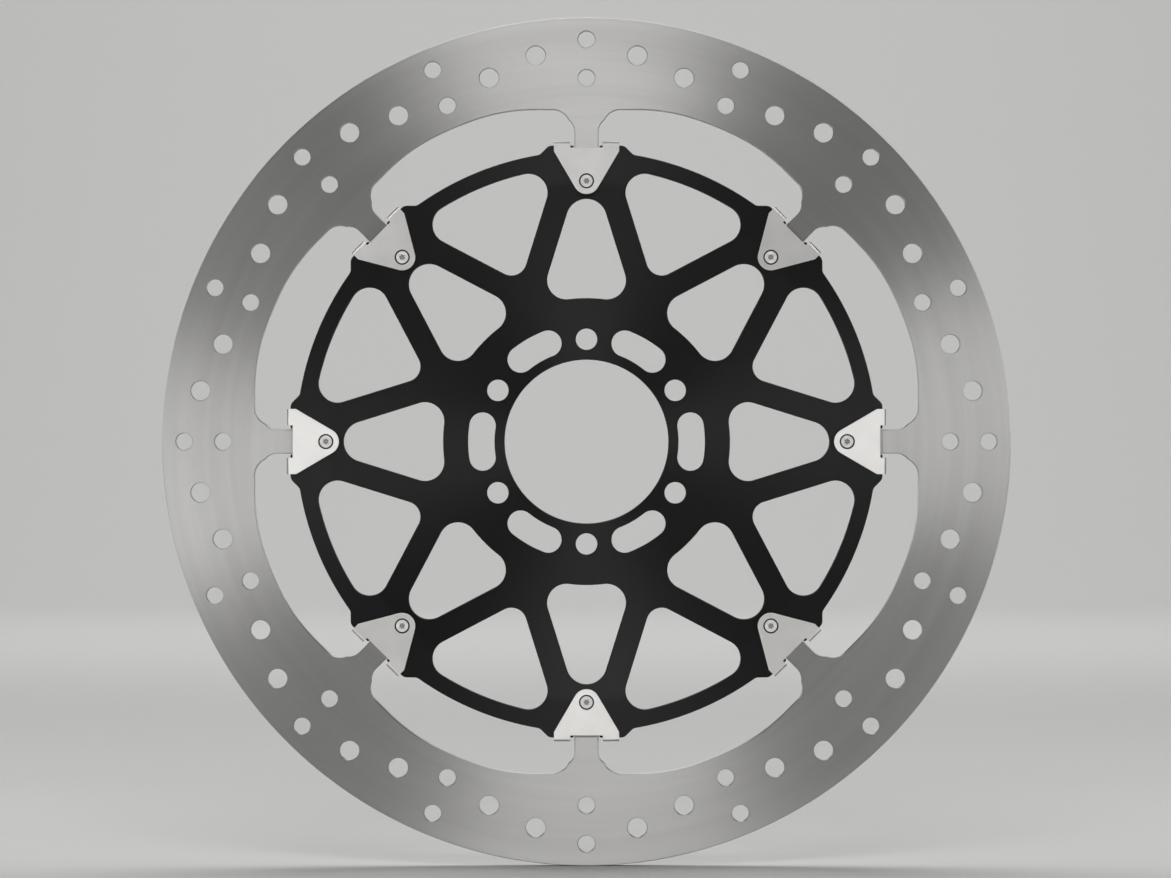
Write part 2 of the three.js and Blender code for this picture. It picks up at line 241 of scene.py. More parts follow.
def rounded(corners):
    """A run of straight edges through (x, y, radius) corners; a corner of radius 0 stays sharp."""
    out = []
    for i, (x, y, radius) in enumerate(corners):
        here = Vector((x, y))
        if not radius:
            out.append(here)
            continue
        before = (Vector(corners[i - 1][:2]) - here).normalized()
        after = (Vector(corners[(i + 1) % len(corners)][:2]) - here).normalized()
        half = math.acos(before.dot(after)) / 2
        centre = here + (before + after).normalized() * radius / math.sin(half)
        start = angle_of(here + before * radius / math.tan(half) - centre)
        end = angle_of(here + after * radius / math.tan(half) - centre)
        sweep = (end - start + math.pi) % (2 * math.pi) - math.pi
        out += arc(centre, radius, start, start + sweep)
    return out


def mirrored(half):
    """The right half of an outline followed by its mirror image."""
    return half + [Vector((-p.x, p.y)) for p in reversed(half)]


def turned(points, degrees):
    """The points turned anticlockwise about the spin axis."""
    turn = Matrix.Rotation(math.radians(degrees), 2)
    return [turn @ p for p in points]


def copies(points, count, first=0):
    return [turned(points, first + i * 360 / count) for i in range(count)]


def line_at_radius(start, direction, radius, side):
    """The nearest (-1) or farthest (1) point of a line at a given distance from the origin."""
    along = start.dot(direction)
    half_chord = math.sqrt(along**2 - start.length_squared + radius**2)
    return start + direction * (side * half_chord - along)


def circles_meet(a, radius_a, b, radius_b):
    """Where two circles cross, on the left of the way from the first centre to the second."""
    gap = (b - a).length
    along = (gap**2 + radius_a**2 - radius_b**2) / (2 * gap)
    u = (b - a) / gap
    return a + u * along + Vector((-u.y, u.x)) * math.sqrt(radius_a**2 - along**2)


def pairs(row):
    """Each member of a closed row with the next."""
    return zip(row, row[1:] + row[:1])


def clean(loop):
    """The loop without points that repeat."""
    return [p for p, q in pairs(loop) if (p - q).length > SAME_POINT]


def signed_area(loop):
    return sum(p.x * q.y - q.x * p.y for p, q in pairs(loop)) / 2


def inset(loop, distance):
    """A loop moved to its left, which is into the material for every loop from oriented()."""
    if not distance:
        return [p.copy() for p in loop]
    out = []
    for before, here, after in zip(loop[-1:] + loop[:-1], loop, loop[1:] + loop[:1]):
        n1 = (here - before).orthogonal().normalized()
        n2 = (after - here).orthogonal().normalized()
        out.append(here + (n1 + n2) * distance / (1 + n1.dot(n2)))
    return out


def oriented(outline, holes):
    """The outline anticlockwise and its holes clockwise, so that the material is on their left."""
    loops = [clean(outline)] + [clean(hole) for hole in holes]
    wanted = [True] + [False] * len(holes)
    return [p if (signed_area(p) > 0) == keep else p[::-1] for p, keep in zip(loops, wanted)]


def divided(loop, longest):
    """The loop with its long edges divided."""
    out = []
    for p, q in pairs(loop):
        count = max(1, math.ceil((q - p).length / longest))
        out += [p.lerp(q, i / count) for i in range(count)]
    return out


# ---- Meshes ----


def world(x, y, z):
    return Vector((x, -z, y)) * MM


class Body:
    """Vertices and faces of one piece, in drawing coordinates."""

    def __init__(self):
        self.points = []
        self.faces = []
        self.creases = set()  # edges that stay sharp, as pairs of vertices

    def add(self, points):
        first = len(self.points)
        self.points += points
        return list(range(first, first + len(points)))

    def bridge(self, a, b):
        """Joins two closed rows of as many vertices."""
        self.faces += [(p, q, s, r) for (p, q), (r, s) in zip(pairs(a), pairs(b))]

    def fan(self, row, centre):
        """Closes a row with triangles that meet at a centre."""
        (hub,) = self.add([centre])
        self.faces += [(a, b, hub) for a, b in pairs(row)]

    def piece(self, name, material, flat_points=None):
        """The finished object. flat_points, one for each vertex, lay out a UV map in metres."""
        bm = bmesh.new()
        verts = [bm.verts.new(world(*p)) for p in self.points]
        for face in self.faces:
            bm.faces.new([verts[i] for i in face])
        if flat_points:
            grain = bm.loops.layers.uv.new("grain")
            for made, face in zip(bm.faces, self.faces):
                for corner, i in zip(made.loops, face):
                    corner[grain].uv = flat_points[i] * MM
        for a, b in self.creases:
            bm.edges.get((verts[a], verts[b])).seam = True
        bmesh.ops.remove_doubles(bm, verts=bm.verts, dist=SAME_POINT * MM)
        bmesh.ops.recalc_face_normals(bm, faces=bm.faces)
        for face in bm.faces:
            face.smooth = True
        for edge in bm.edges:
            edge.smooth = not edge.seam and edge.calc_face_angle() < math.radians(SHARP_DEG)
            edge.seam = False  # the seams only carried the creases as far as here
        mesh = bpy.data.meshes.new(name)
        bm.to_mesh(mesh)
        bm.free()
        mesh.materials.append(material)
        obj = bpy.data.objects.new(name, mesh)
        bpy.context.scene.collection.objects.link(obj)
        return obj


CDT_ERROR = 1e-6


def triangulated(loops, inside):
    """Triangles on the left of every loop, through the extra inside points.

    Returns the points, the triangles, and for each loop its row of points.
    """
    points = [p for loop in loops for p in loop]
    edges = []
    for loop in loops:
        first = len(edges)
        edges += pairs(list(range(first, first + len(loop))))
    found, _, faces, origins, _, _ = delaunay_2d_cdt(points + inside, edges, [], 0, CDT_ERROR)
    where = {source: i for i, sources in enumerate(origins) for source in sources}
    rows = []
    first = 0
    for loop in loops:
        rows.append([where[first + i] for i in range(len(loop))])
        first += len(loop)
    border = {edge for row in rows for edge in pairs(row)}
    sides = {edge: tuple(face) for face in faces for edge in pairs(list(face))}
    todo = [sides[edge] for edge in border]
    kept = set()
    while todo:
        face = todo.pop()
        if face not in kept:
            kept.add(face)
            inner = [(b, a) for a, b in pairs(list(face)) if (a, b) not in border]
            todo += [sides[edge] for edge in inner if edge in sides]
    return found, sorted(kept), rows


def away_from(loops, points, distance):
    """The points that aren't close to any of the loops."""
    border = [p for loop in loops for p in divided(loop, distance)]
    tree = KDTree(len(border))
    for i, p in enumerate(border):
        tree.insert(p.to_3d(), i)
    tree.balance()
    return [p for p in points if tree.find(p.to_3d())[2] > distance]


def slab(loops, front, rear, edges, inside=()):
    """A body between two faces, whose heights are functions of x and y.

    edges holds, for each loop, the steps of its front edge and of its rear edge from the wall to
    the face, as (inset, drop) pairs.
    """
    body = Body()
    walls = []
    for side, (height, sign) in enumerate(((front, -1), (rear, 1))):
        steps = [edge[side] for edge in edges]
        face_loops = [inset(loop, s[-1][0]) for loop, s in zip(loops, steps)]
        points, faces, rows = triangulated(face_loops, list(inside))
        ids = body.add([(p.x, p.y, height(p.x, p.y)) for p in points])
        body.faces += [tuple(ids[i] for i in face) for face in faces]
        starts = []
        for loop, row, loop_steps in zip(loops, rows, steps):
            ring = [ids[i] for i in row]
            body.creases.update(pairs(ring))
            for width, drop in reversed(loop_steps[:-1]):
                moved = inset(loop, width)
                lower = body.add([(p.x, p.y, height(p.x, p.y) + sign * drop) for p in moved])
                body.bridge(ring, lower)
                ring = lower
            starts.append(ring)
        walls.append(starts)
    for upper, lower in zip(*walls):
        body.bridge(upper, lower)
    used = {i for face in body.faces for i in face}
    keep = {old: new for new, old in enumerate(sorted(used))}
    body.points = [body.points[i] for i in sorted(used)]
    body.faces = [tuple(keep[i] for i in face) for face in body.faces]
    body.creases = {(keep[a], keep[b]) for a, b in body.creases}
    return body


def chamfer(width):
    return [(0, width), (width, 0)]


ROUND_STEPS = 4


def soft_edge(radius):
    """A quarter round from the wall to the face."""
    turns = [math.pi / 2 * i / ROUND_STEPS for i in range(ROUND_STEPS + 1)]
    return [(radius * (1 - math.cos(t)), radius * (1 - math.sin(t))) for t in turns]


def flat(height):
    return lambda x, y: height


# ---- Brake ring ----


def ring_inner_station():
    """One tab and the inner edge up to the next, anticlockwise."""
    rise = RING_INNER_R - RING_INNER_FLAT
    bend_r = (RING_INNER_R**2 - RING_INNER_FLAT**2 - RING_FLAT_END**2) / 2 / rise
    bend = Vector((RING_FLAT_END, RING_INNER_FLAT - bend_r))
    shoulder = Vector((SHOULDER_X, RING_INNER_FLAT - SHOULDER_R))
    root = Vector((STEM_HALF + ROOT_R, ROOT_Y))
    kink = circles_meet(root, ROOT_R, shoulder, SHOULDER_R)
    head = rounded(
        [
            (STEM_HALF, ROOT_Y, 0),
            (STEM_HALF, HEAD_TOP, SLOT_CORNER_R),
            (HEAD_HALF, HEAD_TOP, SLOT_CORNER_R),
            (HEAD_HALF, HEAD_BOTTOM, HEAD_CORNER_R),
            (0, HEAD_BOTTOM, 0),
        ]
    )
    half = arc(bend, bend_r, angle_of(bend), math.pi / 2)
    half += arc(shoulder, SHOULDER_R, math.pi / 2, angle_of(kink - shoulder))
    half += arc(root, ROOT_R, angle_of(kink - root), math.pi)
    half += head[1:-1]
    start = math.pi - angle_of(bend)
    end = angle_of(bend) + math.radians(STATION_DEG)
    return mirrored(half) + arc((0, 0), RING_INNER_R, start, end)


def drill_holes():
    holes = []
    for radius in PAIR_RADII:
        holes += copies(circle((0, radius), SMALL_HOLE_R), 2 * STATIONS)
    for degrees, radius in LARGE_HOLES:
        place = polar(radius, math.radians(90 - degrees))
        holes += copies(circle(place, LARGE_HOLE_R), STATIONS)
    return holes


def brake_ring(material):
    inner = [p for station in copies(ring_inner_station(), STATIONS) for p in station]
    loops = oriented(circle((0, 0), RING_R), [inner] + drill_holes())
    edges = [(chamfer(RING_CHAMFER), chamfer(RING_CHAMFER))] * 2
    edges += [(chamfer(DRILL_CHAMFER), chamfer(DRILL_CHAMFER))] * (len(loops) - 2)
    body = slab(loops, flat(RING_FRONT), flat(RING_REAR), edges)
    return body.piece("brake_ring_turned", material)


# ---- Carrier ----


def rim_station():
    """One lug with its T slot and the rim up to the next, anticlockwise."""
    foot = polar(RIM_R, math.radians(90 - LUG_FOOT_DEG))
    along = polar(1, math.radians(180 - LUG_FOOT_DEG))
    reach = (LUG_SHOULDER_X + LUG_TOP - foot.x - foot.y) / (along.x + along.y)
    corner = foot + along * reach
    mouth = STEM_HALF + SLOT_CLEARANCE
    pocket = HEAD_HALF + SLOT_CLEARANCE
    ceiling = HEAD_TOP + SLOT_CLEARANCE
    floor = HEAD_BOTTOM - SLOT_CLEARANCE
    half = rounded(
        [
            (foot.x, foot.y, 0),
            (corner.x, corner.y, LUG_R),
            (LUG_SHOULDER_X, LUG_TOP, LUG_R),
            (mouth, LUG_TOP, SLOT_CORNER_R),
            (mouth, ceiling, SLOT_CORNER_R),
            (pocket, ceiling, SLOT_CORNER_R),
            (pocket, floor, HEAD_CORNER_R + SLOT_CLEARANCE),
            (0, floor, 0),
        ]
    )
    start = math.radians(90 + LUG_FOOT_DEG)
    end = math.radians(90 + STATION_DEG - LUG_FOOT_DEG)
    return mirrored(half[1:-1]) + arc((0, 0), RIM_R, start, end)


def outer_window():
    """The large window between two lugs, drawn pointing up."""
    arc_r, apex, outer_r, inner_r = (OUTER_WINDOW[k] for k in ("arc", "apex", "outer_r", "inner_r"))
    half = math.radians(OUTER_WINDOW["half_deg"])
    side = Vector((math.sin(half), math.cos(half)))
    inward = Vector((-math.cos(half), math.sin(half)))
    corner = line_at_radius(Vector((0, apex)) + inward * outer_r, side, arc_r - outer_r, 1)
    right = arc((0, apex + inner_r / math.sin(half)), inner_r, -math.pi / 2, -half)
    right += arc(corner, outer_r, -half, angle_of(corner))
    middle = arc((0, 0), arc_r, angle_of(corner), math.pi - angle_of(corner))
    return right + middle[1:-1] + mirrored(right)[len(right) :]


def inner_window():
    """The smaller window below a lug, drawn pointing up."""
    arc_r, apex, top_r, bottom_r = (INNER_WINDOW[k] for k in ("arc", "apex", "top_r", "bottom_r"))
    half = math.radians(INNER_WINDOW["half_deg"])
    side = Vector((math.sin(half), -math.cos(half)))
    inward = Vector((-math.cos(half), -math.sin(half)))
    corner = line_at_radius(Vector((0, apex)) + inward * bottom_r, side, arc_r + bottom_r, -1)
    right = arc(corner, bottom_r, angle_of(corner) - math.pi, half)
    right += arc((0, apex - top_r / math.sin(half)), top_r, half, math.pi / 2)
    bottom = arc((0, 0), arc_r, math.pi - angle_of(corner), angle_of(corner))
    return mirrored(right) + bottom[1:-1]


def hub_slot():
    """The curved slot between two bolt holes, drawn at the top of the hub."""
    radius, half = HUB_SLOT["radius"], HUB_SLOT["half"]
    low = math.radians(90 - HUB_SLOT["end_deg"])
    high = math.pi - low
    return (
        arc((0, 0), radius + half, low, high)
        + arc(polar(radius, high), half, high, high + math.pi)
        + arc((0, 0), radius - half, high, low)
        + arc(polar(radius, low), half, low - math.pi, low)
    )


def dish(limits, base, level, brow):
    """Height of a face that curves up from its base at one radius to its level at another.

    brow is the radius that rounds the corner where the curve meets the level.
    """
    inner, outer = limits
    run, rise = outer - inner, level - base
    bowl_r = (run**2 + rise**2) / (2 * rise)
    slope = run / (bowl_r - rise)
    reach = brow * math.tan(math.atan(slope) / 2)

    def height(x, y):
        r = math.hypot(x, y)
        if r <= inner:
            return base
        if r >= outer + reach:
            return level
        bowl = base + bowl_r - math.sqrt(bowl_r**2 - (r - inner) ** 2)
        if r <= outer - reach:
            return bowl
        return level - (outer + reach - r) ** 2 / (4 * reach) * slope

    return height


def dish_points():
    """Points on circles over the dished faces, close enough together to carry their curve."""
    points = []
    radius = BOWL_FRONT[0] - DISH_MARGIN[0]
    while radius < BOWL_FRONT[1] + DISH_MARGIN[1]:
        count = round(2 * math.pi * radius / DISH_GAP)
        points += [polar(radius, 2 * math.pi * i / count) for i in range(count)]
        radius += DISH_ROW
    return points


def carrier(material):
    rim = [p for station in copies(rim_station(), STATIONS) for p in station]
    holes = [circle((0, 0), BORE_R)]
    holes += copies(circle((0, BOLT_CIRCLE_R), BOLT_HOLE_R), BOLTS)
    holes += copies(hub_slot(), BOLTS, 180 / BOLTS)
    holes += copies(inner_window(), STATIONS)
    holes += copies(outer_window(), STATIONS, STATION_DEG / 2)
    holes += copies(circle((0, SCREW_RADIUS), SCREW_HOLE_R), STATIONS)
    loops = [divided(loop, CARRIER_EDGE) for loop in oriented(rim, holes)]
    sink = SCREW_HEAD_R + SCREW_HEAD_ROOM - SCREW_HOLE_R
    edges = [(chamfer(CARRIER_CHAMFER), chamfer(CARRIER_CHAMFER))] * (len(loops) - STATIONS)
    edges += [(chamfer(sink), chamfer(SCREW_HOLE_CHAMFER))] * STATIONS
    front = dish(BOWL_FRONT, HUB_FRONT, RIM_FRONT, BROW_R)
    rear = dish(BOWL_REAR, 0, RIM_REAR, BROW_R)
    inside = away_from(loops, dish_points(), DISH_CLEAR)
    return slab(loops, front, rear, edges, inside).piece("carrier_machined", material)


# ---- Retaining clip, drawn at the top station ----

BEND_START = CLIP_EAR_TOP - CLIP_BEND_R
BEND_LENGTH = math.pi / 2 * (CLIP_BEND_R - SHEET / 2)
FLANGE_LENGTH = CLIP_FRONT - CLIP_REAR - 2 * CLIP_BEND_R
TONGUE_LENGTH = BEND_START - CLIP_TONGUE_END
BLANK_END = BEND_START + 2 * BEND_LENGTH + FLANGE_LENGTH + TONGUE_LENGTH


def folded(x, v, w):
    """Where a point of the blank goes: v runs along the ear, w from its outer to its inner face."""
    front_bend = CLIP_FRONT - CLIP_BEND_R
    rear_bend = CLIP_REAR + CLIP_BEND_R
    reach = CLIP_BEND_R - w
    s = v - BEND_START
    if s <= 0:
        return x, v, CLIP_FRONT - w
    if s <= BEND_LENGTH:
        turn = s / BEND_LENGTH * math.pi / 2
        return x, BEND_START + reach * math.sin(turn), front_bend + reach * math.cos(turn)
    s -= BEND_LENGTH
    if s <= FLANGE_LENGTH:
        return x, CLIP_EAR_TOP - w, front_bend - s
    s -= FLANGE_LENGTH
    if s <= BEND_LENGTH:
        turn = s / BEND_LENGTH * math.pi / 2
        return x, BEND_START + reach * math.cos(turn), rear_bend - reach * math.sin(turn)
    return x, BEND_START - (s - BEND_LENGTH), CLIP_REAR + w


def clip_blank():
    """Outline of the flat sheet from which a clip is folded."""
    shoulder = Vector((CLIP_HALF, CLIP_SHOULDER_Y - SCREW_RADIUS))
    tangent = angle_of(shoulder) - math.acos(CLIP_TIP_R / shoulder.length)
    tip = arc((0, SCREW_RADIUS), CLIP_TIP_R, -math.pi / 2, tangent)[1:]
    side = rounded(
        [
            (tip[-1].x, tip[-1].y, 0),
            (CLIP_HALF, CLIP_SHOULDER_Y, CLIP_SHOULDER_R),
            (CLIP_HALF, BEND_START, 0),
        ]
    )
    ear = rounded(
        [
            (CLIP_HALF, BEND_START, 0),
            (CLIP_HALF, BLANK_END, CLIP_TONGUE_R),
            (CLIP_NOTCH_HALF, BLANK_END, CLIP_TONGUE_R),
            (CLIP_NOTCH_HALF, CLIP_NOTCH_Y, CLIP_NOTCH_R),
            (0, CLIP_NOTCH_Y, 0),
        ]
    )
    return mirrored(tip + side[1:-1] + ear[1:-1])


def fold_points():
    """Points over both ears of the blank, in rows close enough together to carry the folds."""
    start = CLIP_NOTCH_HALF + FOLD_MARGIN
    width = CLIP_HALF - CLIP_NOTCH_HALF - 2 * FOLD_MARGIN
    columns = [start + i * width / FOLD_COLUMNS for i in range(FOLD_COLUMNS + 1)]
    count = math.ceil((2 * BEND_LENGTH + FLANGE_LENGTH) / FOLD_ROW)
    rows = [BEND_START + i * FOLD_ROW for i in range(-1, count + 2)]
    return [Vector((side * x, y)) for side in (-1, 1) for x in columns for y in rows]


def retaining_clip(material):
    hole = circle((0, SCREW_RADIUS), CLIP_SINK_R - CLIP_SINK_WIDTH)
    outline, hole = oriented(clip_blank(), [hole])
    outline = divided(outline, CLIP_EDGE_LENGTH)
    round_edge = soft_edge(CLIP_EDGE)
    sink = [(0, CLIP_SINK_DEPTH), (CLIP_SINK_WIDTH, 0)]
    edges = [(round_edge, round_edge), (sink, chamfer(CLIP_SINK_REAR))]
    body = slab([outline, hole], flat(0), flat(-SHEET), edges, fold_points())
    blank = [Vector((x, y)) for x, y, _ in body.points]
    body.points = [folded(x, y, -z) for x, y, z in body.points]
    return body.piece("retaining_clip_folded_1", material, blank)


# ---- Screw and nut, drawn at the top station ----

LOFT_SIDES = 96


def loft(rows, closed=False):
    """A body through rows of (radius as a function of the angle, height)."""
    body = Body()
    angles = [2 * math.pi * i / LOFT_SIDES for i in range(LOFT_SIDES)]
    ids = []
    for radius, height in rows:
        points = [polar(radius(a), a) + Vector((0, SCREW_RADIUS)) for a in angles]
        ids.append(body.add([(p.x, p.y, height) for p in points]))
    for upper, lower in zip(ids, ids[1:] + (ids[:1] if closed else [])):
        body.bridge(upper, lower)
    if not closed:
        for row, (_, height) in ((ids[0], rows[0]), (ids[-1], rows[-1])):
            body.fan(row, (0, SCREW_RADIUS, height))
    return body


def round_row(radius):
    return lambda angle: radius


def six_lobe(growth):
    """The outline of the socket, moved outwards by its growth."""
    return lambda angle: SOCKET_R + growth + SOCKET_LOBE * math.cos(6 * angle)


def hexagon(limit):
    """The outline of the nut, with its corners cut off at a limiting radius."""

    def radius(angle):
        from_flat = angle % (math.pi / 3) - math.pi / 6
        return min(limit, NUT_HALF / math.cos(from_flat))

    return radius


def thread_row(height, minor, major, taper=1.0):
    """Radius of a screw thread at a height: a rounded ridge that climbs one pitch a turn."""

    def radius(angle):
        phase = (height / THREAD_PITCH - angle / (2 * math.pi)) % 1
        ridge = THREAD_FLANK * (1 - abs(2 * phase - 1)) - (THREAD_FLANK - 1) / 2
        return minor + (major - minor) * taper * min(1, max(0, ridge))

    return radius


def clip_screw(material):
    cone_top = SCREW_TOP - SCREW_HEAD_STEPS[-1][1]
    cone_end = cone_top - (SCREW_HEAD_R - THREAD_MAJOR_R)
    rows = [(six_lobe(growth), SCREW_TOP - drop) for growth, drop in SOCKET_STEPS]
    rows.append((round_row(SCREW_FACE_R), SCREW_TOP))
    rows += [(round_row(SCREW_HEAD_R - step), SCREW_TOP - drop) for step, drop in SCREW_HEAD_STEPS]
    rows.append((round_row(SCREW_NECK_R), cone_end))
    steps = math.ceil((cone_end - SCREW_TAIL) / (THREAD_PITCH / THREAD_ROWS))
    for i in range(1, steps):
        height = cone_end - (cone_end - SCREW_TAIL) * i / steps
        taper = min(1, (height - SCREW_TAIL) / THREAD_RUN_OUT)
        minor = THREAD_MINOR_R - THREAD_TIP * (1 - taper)
        rows.append((thread_row(height, minor, THREAD_MAJOR_R - THREAD_PLAY, taper), height))
    rows.append((round_row(SCREW_END_R), SCREW_TAIL))
    return loft(rows).piece("clip_screw_cut_1", material)


def lock_nut(material):
    """A hexagon with chamfered corners, a collar that locks the thread, and a threaded bore."""
    seat = RIM_REAR - CONTACT_GAP
    tail = seat - NUT_HEIGHT
    collar = tail + COLLAR_HEIGHT
    low = NUT_HALF - NUT_LIP
    reach = NUT_HALF / math.cos(math.pi / 6) - low
    parts = [i / NUT_CORNER_ROWS for i in range(NUT_CORNER_ROWS + 1)]
    corners = [(hexagon(low + reach * part), NUT_LIP + NUT_CORNER * part) for part in parts]
    rows = [(round_row(NUT_MOUTH_R), seat), (round_row(NUT_HALF - NUT_FACE_INSET), seat)]
    rows += [(radius, seat - drop) for radius, drop in corners]
    rows += [(radius, collar + drop) for radius, drop in reversed(corners)]
    heights = (collar, collar - COLLAR_EDGE, tail + COLLAR_EDGE, tail)
    rows += [(round_row(NUT_HALF - step), z) for step, z in zip(COLLAR_INSETS, heights)]
    rows.append((round_row(NUT_MOUTH_R), tail))
    threaded = NUT_HEIGHT - 2 * NUT_MOUTH_DEPTH
    steps = math.ceil(threaded / (THREAD_PITCH / THREAD_ROWS))
    for i in range(steps + 1):
        height = tail + NUT_MOUTH_DEPTH + threaded * i / steps
        minor, major = THREAD_MINOR_R + THREAD_PLAY, THREAD_MAJOR_R + THREAD_PLAY
        rows.append((thread_row(height, minor, major), height))
    return loft(rows, closed=True).piece("lock_nut_formed_1", material)


# ---- Materials ----

NOISE_RANGE = (0.3, 0.7)  # in which nearly all of a noise lies


class Shader:
    """A material's node tree, with short calls to add nodes to it."""

    def __init__(self, name):
        self.material = bpy.data.materials.new(name)
        self.material.use_nodes = True
        self.tree = self.material.node_tree
        self.surface = self.tree.nodes["Principled BSDF"]

    def add(self, kind, inputs, output=0, **settings):
        """Adds a node and returns one of its outputs."""
        node = self.tree.nodes.new("ShaderNode" + kind)
        for key, value in settings.items():
            setattr(node, key, value)
        self.connect(node, inputs)
        return node.outputs[output]

    def connect(self, node, inputs):
        """Links each input that is a socket, and sets each one that is a constant."""
        for key, value in inputs.items():
            if isinstance(value, bpy.types.NodeSocket):
                self.tree.links.new(value, node.inputs[key])
            else:
                node.inputs[key].default_value = value

    def finish(self, inputs):
        """The material, with these values on its surface."""
        self.connect(self.surface, inputs)
        return self.material

    def position(self):
        return self.add("TexCoord", {}, "Object")

    def part(self, vector, axis):
        return self.add("SeparateXYZ", {"Vector": vector}, axis)

    def math(self, operation, *values):
        return self.add("Math", dict(enumerate(values)), operation=operation)

    def vector_math(self, operation, output, *values):
        return self.add("VectorMath", dict(enumerate(values)), output, operation=operation)

    def noise(self, vector, scale, detail=2.0, roughness=0.5):
        inputs = {"Vector": vector, "Scale": scale, "Detail": detail, "Roughness": roughness}
        return self.add("TexNoise", inputs, "Fac")

    def ramp(self, value, stops):
        """Shades of grey, or colors, against a value."""
        color = self.add("ValToRGB", {"Fac": value}, "Color")
        elements = color.node.color_ramp.elements
        while len(elements) < len(stops):
            elements.new(0.5)
        for element, (place, shade) in zip(elements, stops):
            element.position = place
            element.color = (*shade, 1) if isinstance(shade, tuple) else (shade, shade, shade, 1)
        return color

    def varied(self, noise, dark, light):
        """A color that wanders between two with the noise."""
        return self.ramp(noise, list(zip(NOISE_RANGE, (dark, light))))

    def tinted(self, color, shade):
        return self.vector_math("MULTIPLY", "Vector", color, shade)

    def spread(self, noise, low, high):
        """A number that wanders between two with the noise."""
        start, end = NOISE_RANGE
        inputs = {"Value": noise, "From Min": start, "From Max": end, "To Min": low, "To Max": high}
        return self.add("MapRange", inputs, "Result")

    def bump(self, height, distance, below=None):
        """A normal that follows a height, over the bumps below where there are any."""
        inputs = {"Height": height, "Distance": distance}
        if below is not None:
            inputs["Normal"] = below
        return self.add("Bump", inputs, "Normal")

    def turned_coordinates(self, along, across):
        """Coordinates that draw noise out round the spin axis.

        along is how far they go in a radian of turn, and across in a metre of radius.
        """
        position = self.position()
        x, z = self.part(position, "X"), self.part(position, "Z")
        flat_place = self.add("CombineXYZ", {"X": x, "Y": z})
        radius = self.vector_math("LENGTH", "Value", flat_place)
        direction = self.vector_math("NORMALIZE", "Vector", flat_place)
        inputs = {0: direction, "Scale": along}
        round_axis = self.add("VectorMath", inputs, "Vector", operation="SCALE")
        x, y = self.part(round_axis, "X"), self.part(round_axis, "Y")
        return self.add("CombineXYZ", {"X": x, "Y": y, "Z": self.math("MULTIPLY", radius, across)})

    def turned_finish(self, anisotropic):
        """Surface values for highlights that run across lines turned about the spin axis."""
        return {
            "Anisotropic": anisotropic,
            "Anisotropic Rotation": 0.25,
            "Tangent": self.add("Tangent", {}, direction_type="RADIAL", axis="Y"),
        }


def brake_steel():
    """Stainless steel turned in fine concentric lines, which draw its highlights into fans."""
    s = Shader("brake_steel")
    fine = s.noise(s.turned_coordinates(3, 2600), 1, 3, 0.6)
    bands = s.noise(s.turned_coordinates(0.6, 180), 1, 3, 0.6)
    patches = s.noise(s.turned_coordinates(1.2, 30), 1)
    return s.finish(
        {
            "Base Color": s.varied(bands, (0.5, 0.493, 0.484), (0.56, 0.552, 0.543)),
            "Metallic": 1,
            "Roughness": s.spread(patches, 0.39, 0.45),
            "Normal": s.bump(fine, 0.000004, s.bump(bands, 0.00001)),
            **s.turned_finish(0.967),
        }
    )


def black_anodised():
    """Machined aluminium under a satin black anodised layer."""
    s = Shader("black_anodised")
    grain = s.noise(s.position(), 9000)
    lines = s.noise(s.turned_coordinates(2, 1500), 1)
    cloud = s.noise(s.position(), 30, 3)
    return s.finish(
        {
            "Base Color": s.varied(cloud, (0.003, 0.003, 0.0032), (0.005, 0.005, 0.0052)),
            "Specular IOR Level": 0.31,
            "Roughness": s.spread(cloud, 0.43, 0.48),
            "Normal": s.bump(grain, 0.000006, s.bump(lines, 0.000003)),
            **s.turned_finish(0.9),
        }
    )


def spring_steel():
    """Bright spring sheet, with a fine grain along each clip, painted shade in the countersink and
    painted shade along the front fold.
    """
    s = Shader("spring_steel")
    blank = s.add("UVMap", {}, uv_map="grain")
    grain = s.noise(s.add("Mapping", {"Vector": blank, "Scale": (9000, 500, 1)}), 1)
    cloud = s.noise(s.position(), 120)
    hole = (0, SCREW_RADIUS * MM, 0)
    from_hole = s.vector_math("DISTANCE", "Value", blank, hole)
    reach = s.math("DIVIDE", from_hole, 2 * CLIP_SINK_R * MM)
    # painted shade: the base colour goes nearly black inside the countersink's ring, where the
    # recess would lie in shade
    painted_sink_shade = s.ramp(reach, [(0.485, 0.06), (0.495, 1)])
    # painted shade: a dark line in the base colour along the front fold, standing in for the dark
    # reflection where the sheet bends
    painted_crease = (BEND_START + PAINTED_CREASE_PLACE) * MM
    on_painted_crease = s.math("COMPARE", s.part(blank, "Y"), painted_crease, PAINTED_CREASE_HALF * MM)
    shade = s.tinted(painted_sink_shade, s.ramp(on_painted_crease, [(0, 1), (1, 0.3)]))
    polished = s.varied(cloud, (0.93, 0.907, 0.884), (0.97, 0.947, 0.924))
    return s.finish(
        {
            "Base Color": s.tinted(polished, shade),
            "Metallic": 0.7,
            "Roughness": s.spread(cloud, 0.38, 0.42),
            "Normal": s.bump(grain, 0.000002),
            "Anisotropic": 0.95,
            "Tangent": s.add("Tangent", {}, direction_type="UV_MAP", uv_map="grain"),
        }
    )


